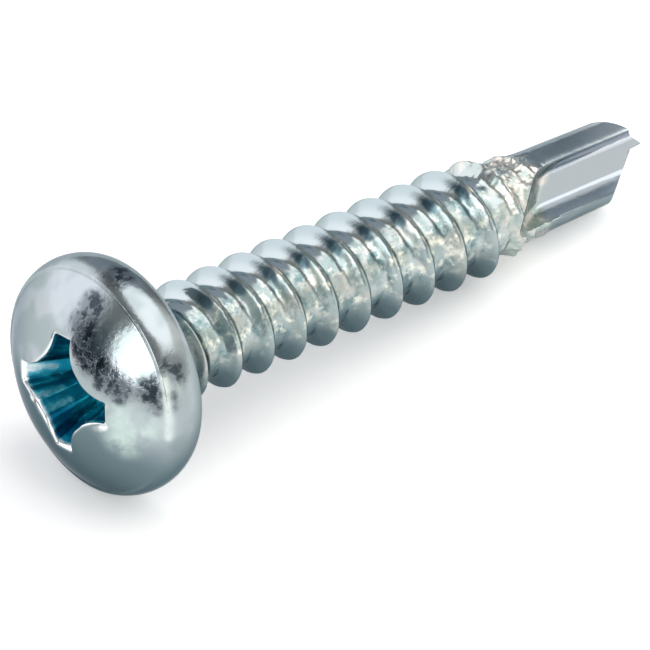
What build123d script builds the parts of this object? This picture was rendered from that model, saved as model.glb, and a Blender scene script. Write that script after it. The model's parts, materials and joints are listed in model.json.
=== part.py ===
from build123d import *

import os
from math import asin, atan2, degrees, hypot, radians, sin, tan

# Self drilling screw: pan head with a cross recess, coarse tapping thread, two-flute drill point.
# All sizes in mm. It is made upright: bearing face at z = 0, point towards +Z, head below, and
# +X is the side that will lie downwards. It is then laid down as it rests on the ground, z = 0.

# ---- whole screw ---------------------------------------------------------
length = 24.12                # bearing face to the apex of the point (nominal 25)

# ---- head ----------------------------------------------------------------
head_height = 3.25
head_radius = 4.38            # widest, part way up the rounded side
bearing_inset = 0.28          # flat ring that clamps the sheet ends this far inside that
belly_height = 0.88           # widest circle above the bearing face
side_height = 1.62            # top of the rounded side
ridge_inset = 0.21            # crisp edge left by the heading punch, inside the widest circle
ridge_width = 0.10            # narrow step from that edge in to the dome
dome_radius = 5.95
underhead_flare = 0.60        # cone into the neck, wider than the crests so that a sheet seats beyond it

# ---- cross recess --------------------------------------------------------
recess_depth = 2.40           # from the top of the dome to the floor of the wings
wing_reach = 2.37             # centre to wing end, level with the top of the dome
wing_taper = 26.5             # slope of the wing ends, degrees from the axis
wing_width = 0.90
wing_width_floor = 0.62
waist_radius = 1.43           # centre to the flat between two wings, at the top
waist_radius_floor = 0.85
waist_flat = 0.50             # width of that flat
recess_cone = 0.40            # shallow cone below the wings
recess_turn = -9.7            # first wing, degrees round from the side lying down

# ---- thread --------------------------------------------------------------
crest_radius = 2.10
root_radius = 1.55
pitch = 1.49
crest_width = 0.12
flank_angle = 30.0            # each flank, so 60 degrees between them
crest_phase = 1.00            # height of a crest on the side lying down
lead_in = 1.50                # length over which the ridge grows out of the neck
full_from = 2.50              # full crests between these two heights
full_to = 15.9
fade_out = 2.6                # length over which the ridge sinks into the drill
fade_sink = 0.05              # crest ends this far below the drill's surface
ridge_foot = 0.30             # ridge is rooted this far below the drill's surface

# ---- drill point ---------------------------------------------------------
drill_radius = 1.50
drill_taper = 0.07            # the drill is this much smaller in radius at its end
point_angle = 52.0            # half angle of the point, along the lips
lip_setback = 0.55            # the second lip stops short of the first
relief_angle = 16.0           # flanks fall away behind the lips
chisel_offset = 0.10          # step between the two flanks, off the axis
flute_mouth = 2.16            # width across the open side of a flute
flute_floor = 1.36
flute_corner = 0.30
web = 0.56                    # metal left between the two flute floors
flute_start = 18.5            # where the floor reaches its full depth
flute_ramp = 50.0             # slope of the run-out, degrees from the axis
flute_skew = 38.0             # the run-out lies askew to the axis
flute_turn = 57.8             # first flute, degrees round from the side lying down

# ---- worked out from these -----------------------------------------------
bearing_radius = head_radius - bearing_inset
ridge_radius = head_radius - ridge_inset
step_radius = ridge_radius - ridge_width
dome_sink = dome_radius - head_height
dome_edge = (dome_radius**2 - step_radius**2) ** 0.5 - dome_sink
dome_angle = degrees(asin(step_radius / dome_radius))
corner_radius = drill_radius - drill_taper
thread_end = full_to + fade_out
lip_turn = 90 - degrees(asin(flute_mouth / 2 / drill_radius))   # lip, from the middle of its land
clear = 1.0                   # how far cutting shapes stand proud of the metal


def blank():
    """Turned blank: head, neck and a plain shank that narrows for the drill."""
    with BuildPart() as solid:
        with BuildSketch(Plane.XZ):
            with BuildLine():
                Line((0, length), (0, -head_height))
                CenterArc((0, dome_sink), dome_radius, -90, dome_angle)
                Line((step_radius, -dome_edge), (ridge_radius, -side_height))
                ThreePointArc((ridge_radius, -side_height), (head_radius, -belly_height), (bearing_radius, 0))
                Polyline((bearing_radius, 0), (root_radius + underhead_flare, 0),
                         (root_radius, underhead_flare), (root_radius, full_to),
                         (drill_radius, thread_end), (corner_radius, length), (0, length))
            make_face()
        revolve(axis=Axis.Z)
    return solid.part


def ridge(rise, sink):
    """Right-handed ridge climbing from z = 0 on the +X side, its crest sinking by the end."""
    foot_radius = drill_radius - ridge_foot
    half_crest = crest_width / 2
    half_foot = half_crest + (crest_radius - foot_radius) * tan(radians(flank_angle))
    with BuildPart() as solid:
        with BuildLine():
            path = Helix(pitch=pitch, height=rise, radius=root_radius, cone_angle=-degrees(atan2(sink, rise)))
        with BuildSketch(Plane.XZ):
            Polygon((foot_radius, -half_foot), (crest_radius, -half_crest), (crest_radius, half_crest),
                    (foot_radius, half_foot), align=None)
        sweep(path=path, is_frenet=True)
    return solid.part


def placed(piece, height):
    """Set a ridge at a height, turned so that its crest stays on the one helix."""
    return piece.rotate(Axis.Z, (height - crest_phase) / pitch * 360).moved(Location((0, 0, height)))


def star(reach, width, waist, height):
    """Outline of the cross recess at one height: four wings with flats between them."""
    with BuildSketch(Plane.XY.offset(height)) as shape:
        with BuildLine():
            for quarter in range(4):
                along = Vector(1, 0).rotate(Axis.Z, 90 * quarter)
                across, diagonal = along.rotate(Axis.Z, 90), along.rotate(Axis.Z, 45)
                beside = diagonal.rotate(Axis.Z, 90) * waist_flat / 2
                near, far = along * reach + across * width / 2, across * reach + along * width / 2
                Line(along * reach - across * width / 2, near)
                TangentArc(near, diagonal * waist - beside, tangent=-along)
                Line(diagonal * waist - beside, diagonal * waist + beside)
                TangentArc(far, diagonal * waist + beside, tangent=-across)
        make_face()
    return shape.sketch.face()


def recess():
    """Driver recess: tapering wings with a shallow cone below them."""
    slope = tan(radians(wing_taper))
    draft = (waist_radius - waist_radius_floor) / recess_depth
    floor = recess_depth - head_height
    mouth = star(wing_reach + slope * clear, wing_width, waist_radius + draft * clear, -head_height - clear)
    bottom = star(wing_reach - slope * recess_depth, wing_width_floor, waist_radius_floor, floor)
    with BuildPart() as hollow:
        loft([mouth, bottom], ruled=True)
        with Locations((0, 0, floor)):
            Cone(waist_radius_floor, 0, recess_cone, align=(Align.CENTER, Align.CENTER, Align.MIN))
    return hollow.part.rotate(Axis.Z, recess_turn)


def flute():
    """One straight flute on the +X side, with a skew ramp where it runs out."""
    depth = drill_radius + clear - web / 2
    splay = (flute_mouth - flute_floor) / 2 / (drill_radius - web / 2)
    half_floor = flute_floor / 2
    half_open = half_floor + splay * depth
    foot = full_to - clear
    with BuildPart() as channel:
        with BuildSketch(Plane.XY.offset(foot)) as section:
            Polygon((web / 2, -half_floor), (web / 2 + depth, -half_open), (web / 2 + depth, half_open),
                    (web / 2, half_floor), align=None)
            fillet(section.vertices().sort_by(Axis.X)[:2], flute_corner)
        extrude(amount=length + clear - foot)
        ramp = Plane((web / 2, 0, flute_start),
                     z_dir=(1 / tan(radians(flute_ramp)), tan(radians(flute_skew)), 1))
        split(bisect_by=ramp, keep=Keep.TOP)
    return channel.part


def point(setback):
    """Solid cone of the point, tipped about a lip at lip_turn so that it falls away behind it."""
    with BuildPart() as cone:
        Cone(length * tan(radians(point_angle)), 0, length, align=(Align.CENTER, Align.CENTER, Align.MAX))
    lip = Axis((0, 0, 0), Vector(0, 1, 0).rotate(Axis.Z, lip_turn))
    return cone.part.rotate(lip, relief_angle).moved(Location((0, 0, length - setback)))


def relief(setback):
    """Everything beyond the flank of the land on the +Y side."""
    size = drill_radius + clear
    tall = setback + 2 * size / tan(radians(point_angle))
    with BuildPart() as beyond:
        with Locations((0, -chisel_offset, length - tall)):
            Box(2 * size, size + chisel_offset, tall + clear, align=(Align.CENTER, Align.MIN, Align.MIN))
        add(point(setback), mode=Mode.SUBTRACT)
    return beyond.part


def lean():
    """Angle at which the side of the head and the outer corner of the drill both touch the ground."""
    with BuildLine():
        belly = ThreePointArc((bearing_radius, 0), (head_radius, -belly_height), (ridge_radius, -side_height))
    fall = corner_radius / tan(radians(point_angle))
    fall += corner_radius * sin(radians(lip_turn - 90 + flute_turn)) * tan(radians(relief_angle))
    across = belly.arc_center.X - corner_radius
    along = length - lip_setback - fall - belly.arc_center.Y
    return degrees(atan2(across, along) + asin(belly.radius / hypot(across, along)))


with BuildPart() as upright:
    add(blank().rotate(Axis.Z, 180))    # the seam of its round faces then lies on the upper side
    add(placed(ridge(full_to - full_from, 0), full_from))
    add(placed(ridge(lead_in, crest_radius - drill_radius).rotate(Axis.X, 180), full_from))
    add(placed(ridge(fade_out, crest_radius - drill_radius + fade_sink), full_to))
    add(recess(), mode=Mode.SUBTRACT)
    for side, setback in ((0, 0), (180, lip_setback)):
        add(flute().rotate(Axis.Z, flute_turn + side), mode=Mode.SUBTRACT)
        add(relief(setback).rotate(Axis.Z, flute_turn + side), mode=Mode.SUBTRACT)

lying = upright.part.rotate(Axis.Y, 90 + lean())
box = lying.bounding_box()
with BuildPart() as screw:
    with Locations((-box.center().X, -box.center().Y, -box.min.Z)):
        add(lying)

screw.part.label = "screw"
os.makedirs("parts", exist_ok=True)
export_step(screw.part, "parts/screw.step")
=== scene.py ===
import json
from math import atan2, cos, degrees, pi, radians, sin, tan

import bmesh
import bpy
import numpy as np
from mathutils import Matrix, Vector


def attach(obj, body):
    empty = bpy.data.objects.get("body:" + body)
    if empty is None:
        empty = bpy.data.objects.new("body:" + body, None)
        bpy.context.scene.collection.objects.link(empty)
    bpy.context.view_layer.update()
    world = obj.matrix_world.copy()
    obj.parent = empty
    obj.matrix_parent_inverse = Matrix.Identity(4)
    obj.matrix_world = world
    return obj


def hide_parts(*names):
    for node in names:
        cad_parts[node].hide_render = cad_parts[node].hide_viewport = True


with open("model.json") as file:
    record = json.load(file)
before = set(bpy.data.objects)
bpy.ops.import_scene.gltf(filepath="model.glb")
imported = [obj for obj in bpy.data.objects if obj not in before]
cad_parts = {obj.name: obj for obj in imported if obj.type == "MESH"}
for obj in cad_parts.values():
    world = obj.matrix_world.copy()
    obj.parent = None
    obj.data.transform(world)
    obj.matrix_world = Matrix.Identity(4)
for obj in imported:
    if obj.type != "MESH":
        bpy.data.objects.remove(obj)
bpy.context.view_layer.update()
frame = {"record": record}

# Dressed self drilling screw: one closed skin in place of the solid, in bright zinc plate.
# The skin is drawn upright, in mm: bearing face at z = 0, drill upwards, head below, and +X is the
# side that lies downwards. It is then laid down where the screw lies on the frame, in metres.
mm = 0.001

# ---- sizes of the screw, mm and degrees -----------------------------------------
length = 24.12                          # bearing face to the apex of the point

head_height = 3.25
head_radius = 4.377                     # widest circle, a hair inside the facets of the solid
belly_height = 0.88                     # from the bearing face to that circle
side_height = 1.62                      # from the bearing face to the top of the rounded side
bearing_inset = 0.28                    # the bearing face ends this far inside the widest circle
ridge_inset = 0.21                      # and so does the edge left by the heading punch
ridge_width = 0.11                      # narrow step from that edge in to the dome
dome_radius = 5.95
underhead_flare = 0.60                  # cone into the neck
ridge_round, bearing_round = 0.03, 0.07
flare_round, neck_round = 0.06, 0.20

recess_depth = 2.40                     # from the top of the dome to the floor of the wings
wing_reach, wing_taper = 2.37, 26.5     # to a wing's end at the top, and the slope of the ends from the axis
wing_width, wing_width_floor = 0.88, 0.62
waist_radius, waist_radius_floor = 1.43, 0.85
waist_flat = 0.50                       # width of the flat between two wings
recess_cone = 0.40                      # shallow cone below the wings
recess_turn = -9.7                      # first wing, degrees round from the side lying down
rim_round = 0.17                        # edge left soft by the punch and the plating

crest_radius, root_radius = 2.10, 1.55
pitch = 1.49
crest_width = 0.12
flank_angle = 30.0                      # each flank, so 60 degrees between them
crest_phase = 1.00                      # height of a crest on the side lying down
lead_in = 1.50                          # length over which the ridge grows out of the neck
full_from, full_to = 2.50, 15.9         # full crests between these two heights
fade_out = 2.6                          # length over which the ridge sinks into the drill
fade_sink = 0.05                        # crest ends this far below the drill's surface
crest_round, root_round = 0.18, 0.38    # rolled crests and roots are this soft

drill_radius = 1.50
drill_taper = 0.07                      # the drill is this much smaller in radius at its end
point_angle = 52.0                      # half angle of the point, along the lips
lip_setback = 0.55                      # the second lip stops short of the first
relief_angle = 16.0                     # flanks fall away behind the lips
chisel_offset = 0.10                    # step between the two flanks, off the axis
flute_mouth, flute_floor = 2.16, 1.36   # width across the open side of a flute and across its floor
flute_corner = 0.90                     # how softly the floor meets the walls
web = 0.56                              # metal left between the two flute floors
flute_start = 18.5                      # where the floor reaches its full depth
flute_ramp, flute_skew = 50.0, 38.0     # slope of the run-out from the axis, and how askew it lies
flute_turn = 57.8                       # first flute, degrees round from the side lying down
lip_round = 0.03                        # soft edges along the lands
sharp_angle = 38.0                      # an edge sharper than this stays crisp

# ---- wear on the plate, and painted light and shade, mm and degrees ---------------
# places on the head (radius, turn from the side lying down, height), and how far each one spreads
# the rubbed dome: real pits, on a patch painted darker as a dark reflection
pits_and_dark_reflection_places = ((3.50, -177, -2.10), (2.95, -176, -2.45), (2.50, -165, -2.70), (2.30, -148, -2.80),
                 (2.50, -131, -2.70), (2.80, -121, -2.50), (3.80, -117, -1.90), (4.00, -111, -1.70),
                 (4.35, -177, -1.00), (4.36, -125, -1.10))
pits_and_dark_reflection_reach = 0.55
# painted reflection: a pale patch on the dome
pale_reflection_places = ((2.5, -104, -2.7), (2.8, -96, -2.54), (3.2, -90, -2.3), (2.9, -80, -2.5), (3.5, -96, -2.1))
pale_reflection_reach = 0.75
# painted highlights in the recess: strips that stand in for glints on its ribs and rim, each a row of spots
# from one place to another
recess_glints_strips = (((2.05, 82, -2.60), (1.62, 80, -1.75)), ((1.52, 54, -3.05), (1.19, 53, -1.97)),
                ((1.38, 32, -3.05), (1.12, 28, -1.94)), ((2.19, -86, -2.80), (1.40, -68, -2.75)))
recess_glints_reach, recess_glints_spots = 0.16, 6
# painted highlight along the edge of the dome
ridge_highlight_strip = ((4.17, -122, -1.59), (4.17, -92, -1.59))
ridge_highlight_reach, ridge_highlight_spots = 0.20, 24
# the flutes cut through the last turns of the thread and leave torn metal, with crumbs standing on it
torn_height, torn_reach = 17.4, 1.7
ramp_reach = 1.1                        # the torn metal spreads this far on the ramp of each flute
burr_height, burr_size = 0.60, 0.38
burr_level, burr_seed = 0.45, 4.0       # the noise stands as a crumb above this level, and dents below it
# inside a flute: from so far below the lands, and from so far before the floor's start
flute_edge, flute_lead = 0.20, 1.0
wall_light_from, wall_light_full = -0.35, 0.15      # painted light along one wall of each flute, lifting its shade, from the wall's foot
# the thread is dented by the dies and frosted in the bath, but left smooth along one side
rolled_from, rolled_to, rolled_fade = 0.3, 18.3, 0.5
smooth_turn, smooth_half, smooth_fade = 150, 33, 16
# painted dark reflection along another side, on the flanks there, between the crest, 0,
# and the root, 1
dark_reflection_side_turn, dark_reflection_side_half = -166, 18
dark_reflection_lowest, dark_reflection_fade = 0.9, 1 / 3

# ---- how fine the skin is ----------------------------------------------------------
columns = 192                           # a wing of the recess and a flute both start on a column
bottom_rings, wall_rings, dome_rings = 8, 12, 20
corner_cells, rim_cells, belly_cells = 4, 6, 16
ridge_step, neck_step, drill_step = 0.05, 0.22, 0.14
turn_rows = 24                          # rows that follow the thread, in each pitch
rows_past_thread = 0.6                  # and how far they go on past its end
web_cells = 12                          # across the point, from one flute to the other
merge_distance = 0.00002                # only points that fall together, where those rows start and end

# ---- worked out from these -----------------------------------------------------------
bearing_radius = head_radius - bearing_inset
ridge_radius = head_radius - ridge_inset
step_radius = ridge_radius - ridge_width
dome_centre = dome_radius - head_height
floor_height = recess_depth - head_height
thread_end = full_to + fade_out
thread_step = pitch / turn_rows
# the rows that follow the thread start in the neck, and one of them runs along the crest
rows_from = crest_phase + pitch * recess_turn / 360 - 2 * thread_step
thread_rows = round((thread_end + rows_past_thread - rows_from) / thread_step)
drill_from = rows_from + thread_rows * thread_step
lip_turn = 90 - degrees(np.arcsin(flute_mouth / 2 / drill_radius))   # lip, from the middle of its land
column_angles = radians(recess_turn) + np.arange(columns) * 2 * pi / columns
flute_column = round((flute_turn - recess_turn) / 360 * columns)

# the recess's mouth on the frame says where the bearing face lies and which way the shank points
recess_mount = next(mount for mount in frame["record"]["mounts"] if mount["name"] == "driver_recess")
shank_way = -Vector(recess_mount["axis"])
bearing_centre = Vector(recess_mount["pos_m"]) + shank_way * head_height * mm
across_way = Vector((0, 1, 0))
down_way = across_way.cross(shank_way)
turn_to_frame = Matrix((down_way, across_way, shank_way)).transposed()


def soft_min(a, b, soft):
    """The smaller value, blended where the two are closer than the softness."""
    share = np.maximum(soft - np.abs(a - b), 0) / soft
    return np.minimum(a, b) - share**2 * soft / 4


def soft_max(a, b, soft):
    """The larger value, blended in the same way."""
    return -soft_min(-np.asarray(a), -np.asarray(b), soft)


def soft_corner(before, corner, after, cells):
    """Points or rings that round a corner, both ends included."""
    return [(1 - t) ** 2 * before + 2 * t * (1 - t) * corner + t**2 * after
            for t in np.linspace(0, 1, cells + 1)]


def around(radius, height):
    """One ring of the skin: a radius and a height, each one number or one per column."""
    radius, height = radius + 0 * column_angles, height + 0 * column_angles
    return np.column_stack([radius * np.cos(column_angles), radius * np.sin(column_angles), height])


# ---- head ----------------------------------------------------------------------------

def star_radius(depth):
    """Radius of the recess in each column, at a depth below the top of the dome."""
    share = depth / recess_depth
    reach = wing_reach - depth * tan(radians(wing_taper))
    half_width = (wing_width + (wing_width_floor - wing_width) * share) / 2
    waist = waist_radius + (waist_radius_floor - waist_radius) * share
    from_wing = np.abs((column_angles - radians(recess_turn) + pi / 4) % (pi / 2) - pi / 4)
    # each side is an arc, tangent to the wing near its end, that bends out to the flat between two wings
    flat_x = (waist + waist_flat / 2) * cos(pi / 4)
    flat_y = (waist - waist_flat / 2) * cos(pi / 4)
    bend = ((flat_x - reach) ** 2 + (flat_y - half_width) ** 2) / (2 * (flat_y - half_width))
    toward = reach * np.cos(from_wing) + (half_width + bend) * np.sin(from_wing)
    side = toward - np.sqrt(np.maximum(toward**2 - reach**2 - (half_width + bend) ** 2 + bend**2, 0))
    radius = np.where(np.tan(from_wing) * reach < half_width, reach / np.cos(from_wing), side)
    from_flat = pi / 4 - from_wing
    return np.where(np.tan(from_flat) * waist < waist_flat / 2, waist / np.cos(from_flat), radius)


def dome_height(radius):
    """Height of the dome at a radius."""
    return dome_centre - np.sqrt(dome_radius**2 - radius**2)


def recess_rings():
    """From the bottom of the recess up its walls, over the rim and out across the dome."""
    foot = star_radius(recess_depth)
    rim_depth = np.zeros(columns)
    for _ in range(12):                 # the rim lies where the star meets the dome
        rim = star_radius(rim_depth)
        rim_depth = head_height + dome_height(rim)
    outside = rim + rim_round           # and its soft edge ends here on the dome

    def wall(share):
        depth = rim_depth + (recess_depth - rim_depth) * share
        return around(star_radius(depth), depth - head_height)

    def bottom(share):
        sunk = recess_cone * np.maximum(1 - foot * share / waist_radius_floor, 0)
        return around(foot * share, floor_height + sunk)

    def dome(share):
        radius = outside + (step_radius - outside) * share
        return around(radius, dome_height(radius))

    # the shares leave room for the soft corners at the foot of the walls, the rim and the dome's edge
    rings = [bottom(share) for share in np.linspace(0.08, 0.80, bottom_rings)]
    rings += soft_corner(bottom(0.88), bottom(1), wall(0.93), corner_cells)
    rings += [wall(share) for share in np.linspace(0.86, 0.14, wall_rings)]
    rings += soft_corner(wall(rim_round / recess_depth), around(rim, dome_height(rim)), dome(0), rim_cells)
    rings += [dome(share) for share in np.linspace(0.05, 0.96, dome_rings)]
    return rings


def belly_arc(cells):
    """Rounded side of the head: the circle through the ridge, the widest point and the bearing edge."""
    ends = np.array([[ridge_radius, -side_height], [head_radius, -belly_height], [bearing_radius, 0]])
    steps = 2 * (ends[1:] - ends[0])
    centre = np.linalg.solve(steps, (ends[1:] ** 2).sum(1) - (ends[0] ** 2).sum())
    size = np.linalg.norm(ends[0] - centre)
    first, last = [atan2(z - centre[1], r - centre[0]) for r, z in ends[[0, 2]]]
    return [centre + size * np.array([cos(a), sin(a)]) for a in np.linspace(first, last, cells + 1)]


def outline(corners, rounds, step):
    """Turned outline through its corners (radius, height), each rounded over a length."""
    points = [np.array(corners[0])]
    for before, corner, after, reach in zip(corners, corners[1:], corners[2:], rounds):
        before, corner, after = map(np.array, (before, corner, after))
        start = corner + (before - corner) / np.linalg.norm(before - corner) * reach
        end = corner + (after - corner) / np.linalg.norm(after - corner) * reach
        cells = int(np.linalg.norm(start - points[-1]) / step)
        points += [points[-1] + (start - points[-1]) * k / cells for k in range(1, cells)]
        points += soft_corner(start, corner, end, corner_cells)
    return points


def side_rings():
    """From the edge of the dome, over the ridge and the belly, across the bearing face to the neck."""
    belly = belly_arc(belly_cells)
    dome_edge = step_radius - 2 * ridge_round
    ridge = outline([(dome_edge, dome_height(dome_edge)), (step_radius, dome_height(step_radius)),
                     belly[0], belly[1]], (ridge_round, ridge_round), ridge_step)
    neck = outline([belly[-2], belly[-1], (root_radius + underhead_flare, 0), (root_radius, underhead_flare),
                    (root_radius, rows_from)], (bearing_round, flare_round, neck_round), neck_step)
    return [around(*point) for point in ridge + belly[2:-2] + neck]


# ---- shank and drill -------------------------------------------------------------------

def shank_radius(heights):
    """Radius of the plain core and drill at each height."""
    return np.interp(heights, [full_to, thread_end, length],
                     [root_radius, drill_radius, drill_radius - drill_taper])


def thread_rings():
    """Rows that climb with the thread. The first and the last turn start and end level, in a wedge."""
    turn = np.arange(columns) / columns
    rings = []
    for row in range(thread_rows + turn_rows + 1):
        climbing = rows_from + pitch * turn * min(row / turn_rows, 1) + max(row - turn_rows, 0) * thread_step
        ending = drill_from - pitch * (1 - turn) * (1 - (row - thread_rows) / turn_rows)
        heights = climbing if row <= thread_rows else ending
        rings.append(around(shank_radius(heights), heights))
    return rings


def drill_rings():
    """Plain drill, before the flutes are pinched in and the point is cut."""
    heights = np.linspace(drill_from, length, round((length - drill_from) / drill_step))[1:]
    return [around(shank_radius(height), height) for height in heights]


def flank_height(points):
    """Height of the point's two flanks: cones tipped about their lips, the second one set back."""
    tip_cos, tip_sin = cos(radians(relief_angle)), sin(radians(relief_angle))
    slope = 1 / tan(radians(point_angle))
    heights = []
    for side, setback in ((0, 0), (pi, lip_setback)):
        land = radians(flute_turn) + side + pi / 2
        lip = land + radians(lip_turn)
        along = points[:, 0] * cos(lip) + points[:, 1] * sin(lip)
        beside = -points[:, 0] * sin(lip) + points[:, 1] * cos(lip)
        # the cone slope * distance, turned by the relief angle in the plane across the lip
        square = tip_cos**2 - (slope * tip_sin) ** 2
        middle = beside * tip_cos * tip_sin * (1 + slope**2)
        rest = (beside * tip_sin) ** 2 - slope**2 * (along**2 + (beside * tip_cos) ** 2)
        fall = (middle - np.sqrt(np.maximum(middle**2 - square * rest, 0))) / square
        beyond = points[:, 0] * cos(land) + points[:, 1] * sin(land) > -chisel_offset
        heights.append(np.where(beyond, length - setback + fall, np.inf))
    return np.minimum(*heights)


def pinch_flutes(points):
    """Push the skin in along each flute, down to its floor, its walls and the skew ramp."""
    for flute in (radians(flute_turn), radians(flute_turn) + pi):
        inward = points[:, 0] * cos(flute) + points[:, 1] * sin(flute)
        beside = -points[:, 0] * sin(flute) + points[:, 1] * cos(flute)
        splay = (flute_mouth - flute_floor) / 2 / (drill_radius - web / 2)
        walls = web / 2 + (np.abs(beside) - flute_floor / 2) / splay
        rise = points[:, 2] - flute_start + beside * tan(radians(flute_skew))
        ramp = web / 2 - tan(radians(flute_ramp)) * rise
        bed = soft_max(soft_max(walls, web / 2, flute_corner), ramp, flute_corner)
        push = soft_min(inward, bed, lip_round) - inward
        points[:, 0] += push * cos(flute)
        points[:, 1] += push * sin(flute)


def cut_point(points, rows):
    """Stretches the drill's rings along the screw, so that each column ends on a flank of the point."""
    rings = points[:rows * columns].reshape(rows, columns, 3)
    heights = rings[:, :, 2]
    stretch = (flank_height(rings[-1]) - drill_from) / (length - drill_from)
    rings[:, :, 2] = np.where(heights > drill_from, drill_from + (heights - drill_from) * stretch, heights)


# ---- thread, raised by Geometry Nodes -----------------------------------------------------

def add_node(tree, kind, inputs=None, **settings):
    """Adds a node with its settings. An input, by name or number, takes a value, an output or a node."""
    node = tree.nodes.new(kind)
    for name, setting in settings.items():
        setattr(node, name, setting)
    for key, source in (inputs or {}).items():
        shown = [socket for socket in node.inputs if socket.enabled]
        named = [socket for socket in shown if socket.name == key]
        target = shown[key] if isinstance(key, int) else named[0]
        if isinstance(source, bpy.types.Node):
            source = next(socket for socket in source.outputs if socket.enabled)
        if isinstance(source, bpy.types.NodeSocket):
            tree.links.new(source, target)
        else:
            target.default_value = source
    return node


def roll_thread(skin, material):
    """Raises the helical ridge on the plain skin, with a tree of Geometry Nodes."""
    tree = bpy.data.node_groups.new("rolled_thread", "GeometryNodeTree")
    sizes = {"Pitch": pitch, "Crest radius": crest_radius, "Crest width": crest_width,
             "Flank angle": radians(flank_angle), "Crest phase": crest_phase, "Full from": full_from,
             "Full to": full_to, "Lead in": lead_in, "Fade out": fade_out, "Drill radius": drill_radius,
             "Fade sink": fade_sink, "Softness": crest_round, "Root softness": root_round,
             "Torn height": torn_height, "Torn reach": torn_reach, "Burr height": burr_height,
             "Burr level": burr_level, "Burrs per mm": 1 / burr_size, "Seed": burr_seed}
    face = tree.interface
    face.new_socket("Skin", in_out="INPUT", socket_type="NodeSocketGeometry")
    sockets = {name: face.new_socket(name, in_out="INPUT", socket_type="NodeSocketFloat") for name in sizes}
    sockets["Material"] = face.new_socket("Material", in_out="INPUT", socket_type="NodeSocketMaterial")
    face.new_socket("Threaded skin", in_out="OUTPUT", socket_type="NodeSocketGeometry")
    given = add_node(tree, "NodeGroupInput").outputs
    place = add_node(tree, "GeometryNodeInputPosition")
    x, y, z = add_node(tree, "ShaderNodeSeparateXYZ", {0: place}).outputs
    crumbs = add_node(tree, "ShaderNodeTexNoise", {"Vector": place, "W": given["Seed"], "Detail": 3.0,
                                                   "Scale": given["Burrs per mm"]}, noise_dimensions="4D")
    known = {name: given[name] for name in sizes} | {"x": x, "y": y, "z": z, "crumbs": crumbs}
    for name, operation, *values in (
            ("x squared", "MULTIPLY", "x", "x"),
            ("y squared", "MULTIPLY", "y", "y"),
            ("radius squared", "ADD", "x squared", "y squared"),
            ("radius", "SQRT", "radius squared"),
            # how far a point is from the crest, along the screw
            ("turned", "ARCTAN2", "y", "x"),
            ("turns", "DIVIDE", "turned", 2 * pi),
            ("above crest", "SUBTRACT", "z", "Crest phase"),
            ("climbed", "DIVIDE", "above crest", "Pitch"),
            ("unwound", "SUBTRACT", "climbed", "turns"),
            ("in its pitch", "WRAP", "unwound", 0.5, -0.5),
            ("share off crest", "ABSOLUTE", "in its pitch"),
            ("off crest", "MULTIPLY", "share off crest", "Pitch"),
            # the crest grows out of the neck and sinks into the drill
            ("before full", "SUBTRACT", "Full from", "z"),
            ("growing", "MAXIMUM", "before full", 0.0),
            ("ungrown", "DIVIDE", "growing", "Lead in"),
            ("past full", "SUBTRACT", "z", "Full to"),
            ("fading", "MAXIMUM", "past full", 0.0),
            ("faded", "DIVIDE", "fading", "Fade out"),
            ("stand", "SUBTRACT", "Crest radius", "Drill radius"),
            ("sink", "ADD", "stand", "Fade sink"),
            ("grown down", "MULTIPLY", "ungrown", "stand"),
            ("faded down", "MULTIPLY", "faded", "sink"),
            ("whole crest", "SUBTRACT", "Crest radius", "grown down"),
            ("crest", "SUBTRACT", "whole crest", "faded down"),
            # two flanks meet it, and its foot is blended into the root
            ("half crest", "MULTIPLY", "Crest width", 0.5),
            ("down flank", "SUBTRACT", "half crest", "off crest"),
            ("flank slope", "TANGENT", "Flank angle"),
            ("flank drop", "DIVIDE", "down flank", "flank slope"),
            ("flank", "ADD", "crest", "flank drop"),
            ("ridge", "SMOOTH_MIN", "crest", "flank", "Softness"),
            ("raised", "SMOOTH_MAX", "radius", "ridge", "Root softness"),
            # crumbs of torn metal, no higher than the crest, where the flutes cut the last turns
            ("from tear", "SUBTRACT", "z", "Torn height"),
            ("off tear", "ABSOLUTE", "from tear"),
            ("share off tear", "DIVIDE", "off tear", "Torn reach"),
            ("near tear", "SUBTRACT", 1.0, "share off tear"),
            ("in tear", "MAXIMUM", "near tear", 0.0),
            ("crumb rise", "SUBTRACT", "crumbs", "Burr level"),
            ("crumb", "MULTIPLY", "crumb rise", "Burr height"),
            ("burr", "MULTIPLY", "crumb", "in tear"),
            ("burred", "ADD", "raised", "burr"),
            ("kept in", "MINIMUM", "burred", "Crest radius"),
            ("times wider", "DIVIDE", "kept in", "radius"),
            ("wider by", "SUBTRACT", "times wider", 1.0),
            ("shank from", "SUBTRACT", "Full from", "Lead in"),
            ("on shank", "GREATER_THAN", "z", "shank from")):
        inputs = {slot: known.get(value, value) for slot, value in enumerate(values)}
        known[name] = add_node(tree, "ShaderNodeMath", inputs, operation=operation, label=name)
    outward = add_node(tree, "ShaderNodeCombineXYZ", {"X": x, "Y": y})
    offset = add_node(tree, "ShaderNodeVectorMath", {0: outward, "Scale": known["wider by"]},
                      operation="SCALE")
    moved = add_node(tree, "GeometryNodeSetPosition",
                     {"Geometry": given["Skin"], "Selection": known["on shank"], "Offset": offset})
    whole = add_node(tree, "GeometryNodeRealizeInstances", {"Geometry": moved})
    coated = add_node(tree, "GeometryNodeSetMaterial", {"Geometry": whole, "Material": given["Material"]})
    add_node(tree, "NodeGroupOutput", {0: coated})

    modifier = skin.modifiers.new("rolled_thread", "NODES")
    modifier.node_group = tree
    for name, size in sizes.items():
        modifier[sockets[name].identifier] = size
    modifier[sockets["Material"].identifier] = material
    depsgraph = bpy.context.evaluated_depsgraph_get()
    threaded = bpy.data.meshes.new_from_object(skin.evaluated_get(depsgraph), depsgraph=depsgraph)
    skin.modifiers.remove(modifier)
    skin.data = threaded


# ---- skin --------------------------------------------------------------------------------

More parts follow.
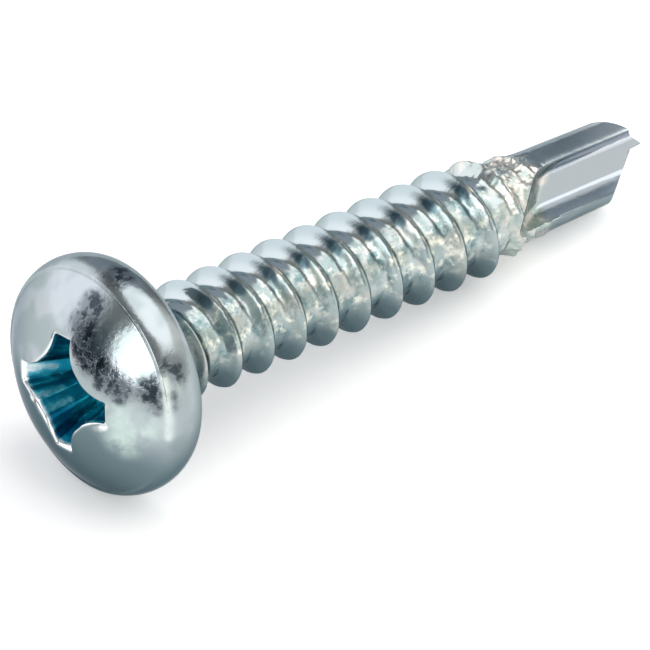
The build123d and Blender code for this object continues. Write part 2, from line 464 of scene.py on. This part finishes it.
def ring_faces(first, last, climb=0):
    """Quads between neighbouring rings. A climbing ring closes on the one that is a turn above it."""
    here = np.arange(first * columns, last * columns).reshape(-1, columns)
    corner = here[np.minimum(np.arange(last - first) + climb, last - first - 1), 0]
    wide = np.column_stack([here, corner])
    quads = np.stack([wide[:-1, :-1], wide[:-1, 1:], wide[1:, 1:], wide[1:, :-1]], -1).reshape(-1, 4)
    return [list(dict.fromkeys(quad)) for quad in quads.tolist()]


def point_cells(points, rows):
    """Points and faces across the drill's end, from column to column, that close its flanks and web."""
    last = (rows - 1) * columns
    quarter = columns // 4
    extra, strips = [], [[last + (flute_column - quarter) % columns] * (web_cells + 1)]
    for step in range(1 - quarter, quarter):
        near = last + (flute_column + step) % columns
        far = last + (flute_column + 2 * quarter - step) % columns
        inner = [points[far] + (points[near] - points[far]) * k / web_cells for k in range(1, web_cells)]
        start = len(points) + len(extra)
        strips.append([far, *range(start, start + len(inner)), near])
        extra += inner
    strips.append([last + (flute_column + quarter) % columns] * (web_cells + 1))
    extra = np.array(extra)
    extra[:, 2] = flank_height(extra)
    faces = [list(dict.fromkeys([low[k], low[k + 1], high[k + 1], high[k]]))
             for low, high in zip(strips, strips[1:]) for k in range(web_cells)]
    return extra, faces


def spread_around(points, places, reach):
    """1 at each of the places (radius, turn, height) on the upright screw, fading out over a reach in mm."""
    most = np.zeros(len(points))
    for radius, turn, height in places:
        middle = np.array([radius * cos(radians(turn)), radius * sin(radians(turn)), height])
        most = np.maximum(most, np.exp(-((points - middle) ** 2).sum(1) / reach**2))
    return most


def turned_off(points, turn):
    """How many degrees each point is turned away from a line along the screw."""
    turned = np.degrees(np.arctan2(points[:, 1], points[:, 0]))
    return np.abs((turned - turn + 180) % 360 - 180)


def marks_and_painted_light(points):
    """How strong each mark on the plate, and each patch of painted light and shade, is at each point of the
    upright screw, from 0 to 1.
    """
    radius, height = np.hypot(points[:, 0], points[:, 1]), points[:, 2]
    # how deep below the dome's own surface, and so in the recess
    below_dome = np.where(height < 0, height - dome_height(np.minimum(radius, step_radius)), 0)
    # across the nearer of the two flutes, and up from its ramp
    flute = radians(flute_turn)
    inward = points[:, 0] * cos(flute) + points[:, 1] * sin(flute)
    beside = (-points[:, 0] * sin(flute) + points[:, 1] * cos(flute)) * np.sign(inward)
    rise = height - flute_start + beside * tan(radians(flute_skew))
    below_lands = np.interp(radius, [drill_radius - flute_edge, drill_radius], [1, 0])
    in_flute = below_lands * (height > flute_start - flute_lead)
    torn_ramp = in_flute * (1 - np.abs(rise) / ramp_reach)
    torn = np.maximum(1 - np.abs(height - torn_height) / torn_reach, torn_ramp)
    # along the thread: how deep between crest and root, where it is rolled and frosted, and where a dark
    # reflection is painted
    root_depth = np.interp(radius, [root_radius, crest_radius], [1, 0])
    rolled = np.interp(height, [rolled_from, rolled_from + rolled_fade, rolled_to - rolled_fade, rolled_to],
                       [0, 1, 1, 0])
    off_smooth, off_dark_reflection = turned_off(points, smooth_turn), turned_off(points, dark_reflection_side_turn)
    frosted = rolled * np.interp(off_smooth, [smooth_half, smooth_half + smooth_fade], [0, 1])
    near_dark_reflection = np.interp(off_dark_reflection, [0, dark_reflection_side_half], [1, 0])
    on_flank = np.interp(root_depth, [0, dark_reflection_fade, dark_reflection_lowest - dark_reflection_fade, dark_reflection_lowest], [0, 1, 1, 0])
    recess_glints = [place for start, end in recess_glints_strips for place in np.linspace(start, end, recess_glints_spots)]
    return {"in_recess": np.clip(below_dome * (radius < wing_reach) / recess_depth, 0, 1),
            "pits_and_dark_reflection": spread_around(points, pits_and_dark_reflection_places, pits_and_dark_reflection_reach),
            "pale_reflection": spread_around(points, pale_reflection_places, pale_reflection_reach),
            "recess_glints": spread_around(points, recess_glints, recess_glints_reach),
            "bright": spread_around(points, np.linspace(*ridge_highlight_strip, ridge_highlight_spots), ridge_highlight_reach),
            # painted shade, strongest on the side lying down
            "underside_shade": points[:, 0] / np.maximum(radius, root_radius) * (height < thread_end),
            "in_flute": in_flute,
            "wall_light": in_flute * np.interp(-beside - flute_floor / 2, [wall_light_from, wall_light_full], [0, 1]),
            "rolled": rolled,
            "frosted": frosted,
            "dark_reflection_side": rolled * near_dark_reflection * on_flank,
            # painted light, strongest deep in the roots
            "root_light": rolled * root_depth,
            "frosted_root": frosted * root_depth,
            "torn": np.clip(torn, 0, 1)}


def build_screw(material):
    """Draws the skin ring by ring, threads, flutes and points it, closes it and lays it on the frame."""
    head, thread = recess_rings() + side_rings(), thread_rings()
    rings = head + thread + drill_rings()
    rows, pole = len(rings), len(rings) * columns
    recess_bottom = np.array([[0, 0, floor_height + recess_cone]])
    mesh = bpy.data.meshes.new("screw_skin")
    mesh.from_pydata(np.vstack([*rings, recess_bottom]).tolist(), [], [])
    screw = bpy.data.objects.new("screw_skin", mesh)
    bpy.context.scene.collection.objects.link(screw)
    roll_thread(screw, material)

    points = np.zeros((pole + 1, 3))
    screw.data.vertices.foreach_get("co", points.ravel())
    pinch_flutes(points)
    cut_point(points, rows)
    across, faces = point_cells(points, rows)
    points = np.vstack([points, across])
    thread_row, drill_row = len(head), len(head) + len(thread) - 1
    faces += ring_faces(0, thread_row + 1) + ring_faces(drill_row, rows)
    faces += ring_faces(thread_row, drill_row + 1, climb=turn_rows)
    faces += [[pole, (k + 1) % columns, k] for k in range(columns)]

    mesh = bpy.data.meshes.new("screw_skin")
    laid_points = points * mm @ np.array(turn_to_frame).T + np.array(bearing_centre)
    mesh.from_pydata(laid_points.tolist(), [], faces)
    # a value for each point of the skin, for the finish to read
    for name, values in marks_and_painted_light(points).items():
        mesh.attributes.new(name, "FLOAT", "POINT").data.foreach_set("value", values.astype(np.float32))
    shell = bmesh.new()
    shell.from_mesh(mesh)
    bmesh.ops.remove_doubles(shell, verts=shell.verts, dist=merge_distance * mm)
    bmesh.ops.recalc_face_normals(shell, faces=shell.faces)
    shell.to_mesh(mesh)
    shell.free()
    mesh.shade_smooth()
    mesh.set_sharp_from_angle(angle=radians(sharp_angle))
    mesh.materials.append(material)
    screw.data = mesh
    return screw


# ---- finishes -----------------------------------------------------------------------------

def linear(code):
    """sRGB hex to linear RGBA."""
    parts = [int(code[k:k + 2], 16) / 255 for k in (1, 3, 5)]
    return (*[p / 12.92 if p <= 0.04045 else ((p + 0.055) / 1.055) ** 2.4 for p in parts], 1.0)


def new_material(name):
    """An empty material of that name, and its node tree."""
    material = bpy.data.materials.new(name)
    material.use_nodes = True
    material.node_tree.nodes.clear()
    return material, material.node_tree


def per_mm(size):
    """Texture scale, in the metres of Object coordinates, for a pattern of that size in mm."""
    return 1 / (size * mm)


# Steel, bright zinc plated with a blue passivate over forged and rolled metal: a cool, bright metal,
# cloudy from the plating bath, with a cream and aqua cast on the worked faces, petrol blue where the
# passivate pooled in the recess, and fine dark pits where the dome was rubbed. Light and shade are
# painted into the colour too: a dark and a pale reflection and a highlight on the dome, glints in
# the recess and on its rim, light in the thread's roots and along one wall of each flute, dark
# reflections along one side of the thread, and shade on the side lying down. It stays grey where
# it is seen at a glancing angle.
bright_zinc, tree = new_material("bright_zinc_plate")
place = add_node(tree, "ShaderNodeTexCoord").outputs["Object"]
mark = {name: add_node(tree, "ShaderNodeAttribute", attribute_name=name).outputs["Fac"]
        for name in ("in_recess", "pits_and_dark_reflection", "pale_reflection", "recess_glints", "bright", "underside_shade", "in_flute", "wall_light",
                     "rolled", "frosted", "dark_reflection_side", "root_light", "frosted_root", "torn")}
# a pattern's patches are so many mm across, and it runs from 0 to 1 between two levels of the noise
for name, size, detail, low, high in (
        ("cast", 0.8, 2.0, 0.44, 0.58),       # one cast of the passivate beside another
        ("clouds", 1.9, 2.0, 0.40, 0.62),     # cloudy deposit from the bath
        ("soft", 1.2, 3.0, 0.30, 0.60),       # thin milky film
        ("crystals", 0.25, 3.0, 0.30, 0.75),  # of the zinc, drawn coarse enough to show
        ("dents", 0.60, 1.0, 0.20, 0.80),     # left by the dies and by tumbling
        ("crumbs", 0.35, 2.0, 0.30, 0.70),    # specks of zinc on the torn metal
        ("dark_spots", 0.60, 3.0, 0.46, 0.66),    # darker spots in the thread
        ("flecks", 0.45, 3.0, 0.50, 0.72),    # cream specks of the passivate
        ("pits", 0.45, 4.0, 0.44, 0.60)):     # where the plate is rubbed
    noise = add_node(tree, "ShaderNodeTexNoise", {"Vector": place, "Scale": per_mm(size), "Detail": detail,
                                                  "Roughness": 0.6})
    mark[name] = add_node(tree, "ShaderNodeMapRange", {"Value": noise, "From Min": low, "From Max": high},
                          interpolation_type="SMOOTHSTEP", label=name)
# each coat lies over the ones before it, where its mark is between two levels and its pattern shows
colour = linear("#9da8aa")
for name, low, high, pattern, code in (
        ("clouds", 0.0, 1.0, None, "#afb7bb"),            # pale clouds from the bath, all over
        ("rolled", 0.0, 1.0, None, "#a4b2b4"),            # the thread
        ("root_light", 0.2, 1.0, None, "#b8c3c4"),           # painted light: paler down in its roots, where they lie in shade
        ("frosted", 0.0, 1.0, "clouds", "#b5b8b3"),       # warm grey and aqua patches in the frost
        ("frosted", 0.0, 1.0, "cast", "#9eadac"),
        ("frosted_root", 0.2, 0.8, "dark_spots", "#728c8f"),  # darker teal spots down in the roots
        ("frosted", 0.0, 1.0, "flecks", "#f0f0e3"),       # cream flecks
        ("dark_reflection_side", 0.2, 0.6, None, "#728b95"),            # painted dark reflection along one side
        ("underside_shade", -0.25, 0.45, None, "#687a7f"),         # painted shade: darker towards the side lying down
        ("in_flute", 0.2, 1.0, None, "#b4bcc4"),          # plain bright flutes
        ("wall_light", 0.1, 0.7, None, "#f7f7f7"),            # painted light by one wall of each, lifting its shade
        ("pale_reflection", 0.1, 1.0, "soft", "#bccdc8"),           # painted pale reflection on the dome
        ("torn", 0.1, 0.6, None, "#b9c0bd"),              # torn metal, with a cream cast and specks
        ("torn", 0.1, 0.6, "cast", "#ece0d6"),
        ("torn", 0.1, 0.6, "crumbs", "#aebdb8"),
        ("pits_and_dark_reflection", 0.1, 0.7, None, "#7c848a"),            # painted dark reflection over the rubbed dome, with dark pits
        ("pits_and_dark_reflection", 0.15, 0.6, "pits", "#414a51"),
        ("in_recess", 0.00, 0.03, None, "#f7f7f7"),       # painted highlight along the rim
        ("in_recess", 0.05, 0.14, None, "#348ea5"),       # petrol blue walls, clouded lighter
        ("in_recess", 0.10, 0.20, "clouds", "#56bbc5"),
        ("recess_glints", 0.10, 0.80, "soft", "#f7f7f7"),         # painted glints in strips
        ("bright", 0.0, 1.0, "soft", "#ccd7d5")):         # painted highlight on the edge of the dome
    shown = add_node(tree, "ShaderNodeMapRange", {"Value": mark[name], "From Min": low, "From Max": high},
                     interpolation_type="SMOOTHSTEP")
    if pattern:
        shown = add_node(tree, "ShaderNodeMath", {0: shown, 1: mark[pattern]}, operation="MULTIPLY")
    colour = add_node(tree, "ShaderNodeMix", {"Factor": shown, "A": colour, "B": linear(code)},
                      data_type="RGBA", label=name)
# the plate is smooth on the head and smoother on the plain side of the thread, satin where it is
# frosted, and rough on metal that is more than a little torn, and on the painted glint strips
on_head, on_thread, on_frost, on_torn = 0.18, 0.12, 0.27, 0.40
a_little_torn = 0.3
thread_roughness = add_node(tree, "ShaderNodeMapRange", {"Value": mark["frosted"], "To Min": on_thread,
                                                         "To Max": on_frost})
plate_roughness = add_node(tree, "ShaderNodeMapRange", {"Value": mark["rolled"], "To Min": on_head,
                                                        "To Max": thread_roughness})
torn_or_glints = add_node(tree, "ShaderNodeMath", {0: mark["torn"], 1: mark["recess_glints"]}, operation="MAXIMUM")
roughness = add_node(tree, "ShaderNodeMapRange", {"Value": torn_or_glints, "From Min": a_little_torn,
                                                  "To Min": plate_roughness, "To Max": on_torn})
# dents on the worked metal, a grain of crystals all over, and pits where the dome is rubbed
dent_depth, grain_depth, pit_depth = 0.05 * mm, 0.01 * mm, 0.02 * mm
worked = add_node(tree, "ShaderNodeMath", {0: mark["frosted"], 1: mark["torn"]}, operation="MAXIMUM")
die_marks = add_node(tree, "ShaderNodeMath", {0: worked, 1: mark["dents"]}, operation="MULTIPLY")
dented = add_node(tree, "ShaderNodeBump", {"Height": die_marks, "Strength": 0.45, "Distance": dent_depth})
grained = add_node(tree, "ShaderNodeBump", {"Height": mark["crystals"], "Normal": dented, "Strength": 0.25,
                                            "Distance": grain_depth})
rubbed_pits = add_node(tree, "ShaderNodeMath", {0: mark["pits_and_dark_reflection"], 1: mark["pits"]}, operation="MULTIPLY")
pitted = add_node(tree, "ShaderNodeBump", {"Height": rubbed_pits, "Normal": grained, "Strength": 0.5,
                                           "Distance": pit_depth}, invert=True)
shader = add_node(tree, "ShaderNodeBsdfPrincipled", {"Base Color": colour, "Roughness": roughness,
                                                     "Normal": pitted, "Metallic": 1.0,
                                                     "Specular Tint": linear("#b4bcc1")})
add_node(tree, "ShaderNodeOutputMaterial", {"Surface": shader})

# Matt white studio paper: plain and pale, it takes the screw's shadow, and glows a little to the eye
# and in the metal, so that it stays white beside it.
paper_glow = 0.20
white_paper, tree = new_material("white_studio_paper")
path = add_node(tree, "ShaderNodeLightPath").outputs
seen = add_node(tree, "ShaderNodeMath", {0: path["Is Camera Ray"], 1: path["Is Glossy Ray"]},
                operation="MAXIMUM")
glow = add_node(tree, "ShaderNodeMath", {0: seen, 1: paper_glow}, operation="MULTIPLY")
shader = add_node(tree, "ShaderNodeBsdfPrincipled", {"Base Color": linear("#ffffff"), "Roughness": 1.0,
                                                     "Specular IOR Level": 0.0,
                                                     "Emission Color": linear("#ffffff"),
                                                     "Emission Strength": glow})
add_node(tree, "ShaderNodeOutputMaterial", {"Surface": shader})

# ---- the piece ------------------------------------------------------------------------------
screw = build_screw(bright_zinc)
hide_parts("screw")
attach(screw, "root")

# ---- floor ------------------------------------------------------------------------------------
floor_half = 3.0                            # metres, far beyond what the camera sees
corners = [(x * floor_half, y * floor_half, 0) for x, y in ((-1, -1), (1, -1), (1, 1), (-1, 1))]
floor_mesh = bpy.data.meshes.new("floor")
floor_mesh.from_pydata(corners, [], [(0, 1, 2, 3)])
floor_mesh.materials.append(white_paper)
floor = bpy.data.objects.new("floor", floor_mesh)
bpy.context.scene.collection.objects.link(floor)


# ---- light ------------------------------------------------------------------------------------

def compass_way(azimuth, elevation):
    """Direction of an azimuth, from +Y towards +X, and an elevation from the horizon, in degrees."""
    azimuth, elevation = radians(azimuth), radians(elevation)
    return Vector((cos(elevation) * sin(azimuth), cos(elevation) * cos(azimuth), sin(elevation)))


# A pale room with a white ceiling, softboxes and grey cards, all far away: the world by direction.
# Half angles and soft edges are in degrees.
room_colour, room_level = "#f6f8fa", 0.33
room_sides = (
    # name, azimuth, elevation, half angle, soft edge, colour, strength
    ("ceiling", -60, 75, 24, 20, "#ffffff", 0.33),
    ("bright wall", 136, 14, 38, 20, "#fffef8", 1.07),
    ("reflector by the camera", 184, 4, 22, 14, "#fffef8", 1.48),
    ("top softbox", 112, 62, 29, 8, "#ffffff", 1.92),
    ("pale wall", -22, 8, 37, 16, "#eae8ec", 1.96),
    ("grey card behind", 46, 26, 21, 6, "#c0c8d4", 0.80),
    ("dark card in front", -75, 12, 10, 20, "#587280", 0.53),
    ("side softbox", -107, 25, 16, 6, "#ffffff", 3.11),
)

world = bpy.data.worlds.new("studio")
bpy.context.scene.world = world
world.use_nodes = True
tree = world.node_tree
tree.nodes.clear()
way = add_node(tree, "ShaderNodeTexCoord").outputs["Generated"]
light = [room_level * part for part in linear(room_colour)]
for name, azimuth, elevation, half_angle, edge, colour, strength in room_sides:
    nearness = add_node(tree, "ShaderNodeVectorMath", {0: way, 1: compass_way(azimuth, elevation)},
                        operation="DOT_PRODUCT")
    angle = add_node(tree, "ShaderNodeMath", {0: nearness.outputs["Value"]}, operation="ARCCOSINE")
    share = add_node(tree, "ShaderNodeMapRange", {"Value": angle, "From Min": radians(half_angle),
                                                  "From Max": radians(half_angle + edge),
                                                  "To Min": 1.0, "To Max": 0.0},
                     interpolation_type="SMOOTHSTEP")
    side = [strength * part for part in linear(colour)]
    light = add_node(tree, "ShaderNodeMix", {"Factor": share, "A": light, "B": side},
                     data_type="RGBA", label=name)
background = add_node(tree, "ShaderNodeBackground", {"Color": light})
add_node(tree, "ShaderNodeOutputWorld", {"Surface": background})

# ---- camera -------------------------------------------------------------------------------------
image_side = 650                            # pixels
sensor = 36.0                               # mm
pixels_per_mm, view_distance = 28.9, 877.0  # at the middle of the bearing face, mm
view_azimuth, view_elevation, view_roll = 41.153, 40.233, 0.388
bearing_seen_at = (124.33, 365.8)           # pixels from the left and the top
focal = pixels_per_mm * view_distance       # pixels

camera_data = bpy.data.cameras.new("camera")
camera_data.sensor_width = sensor
camera_data.lens = focal * sensor / image_side
camera_data.clip_start, camera_data.clip_end = 0.01, 10     # metres
camera = bpy.data.objects.new("camera", camera_data)
bpy.context.scene.collection.objects.link(camera)
level_view = compass_way(view_azimuth, -view_elevation).to_track_quat("-Z", "Y").to_matrix().to_4x4()
camera.matrix_world = level_view @ Matrix.Rotation(radians(view_roll), 4, "Z")
from_left, from_top = bearing_seen_at
off_centre = Vector((from_left - image_side / 2, image_side / 2 - from_top, -focal))
toward = camera.matrix_world.to_3x3() @ off_centre.normalized()
camera.location = bearing_centre - toward * view_distance * mm
bpy.context.scene.camera = camera

bpy.context.scene.view_settings.view_transform = "Standard"
